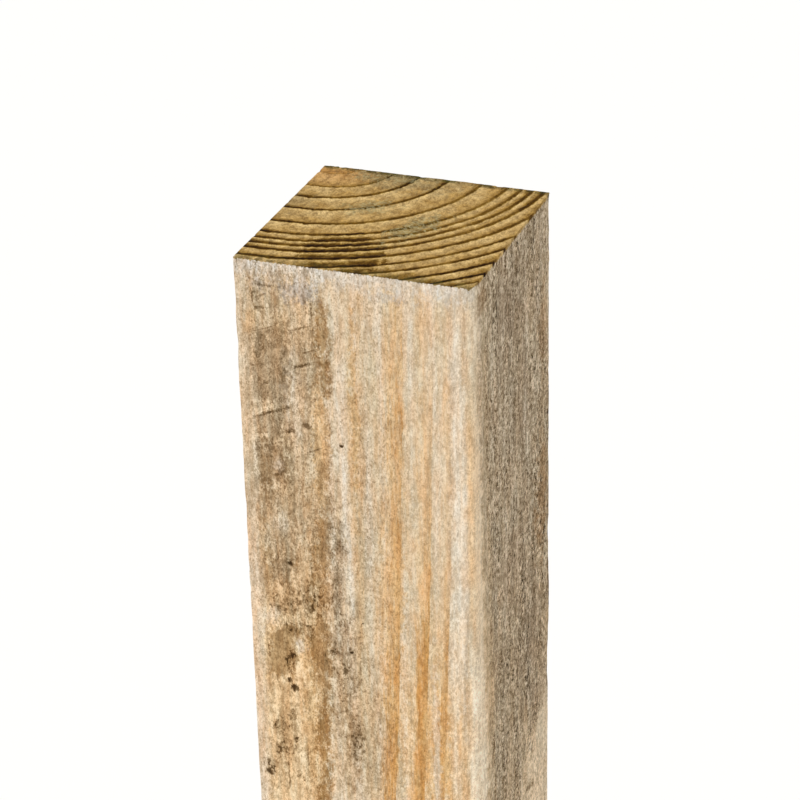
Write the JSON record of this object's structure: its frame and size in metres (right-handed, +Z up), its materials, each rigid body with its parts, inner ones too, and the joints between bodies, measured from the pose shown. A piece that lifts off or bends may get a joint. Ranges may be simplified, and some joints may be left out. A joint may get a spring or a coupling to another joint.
{
  "type": "fence post",
  "caption": "Square sawn softwood fence post with a flat saw-cut top, a square-cut foot and one rubbed long edge, to carry fence rails or panels.",
  "frame": {"origin": "centre of the foot cut, where the post's axis meets the floor", "axes": "+Z up the grain to the top cut, -Y out of the front face, +X out of the right face"},
  "size_m": [0.075, 0.075, 1.8],
  "materials": {
    "sawn_softwood": "matte"
  },
  "bodies": {
    "root": {"fence_post": "sawn_softwood"}
  },
  "joints": []
}
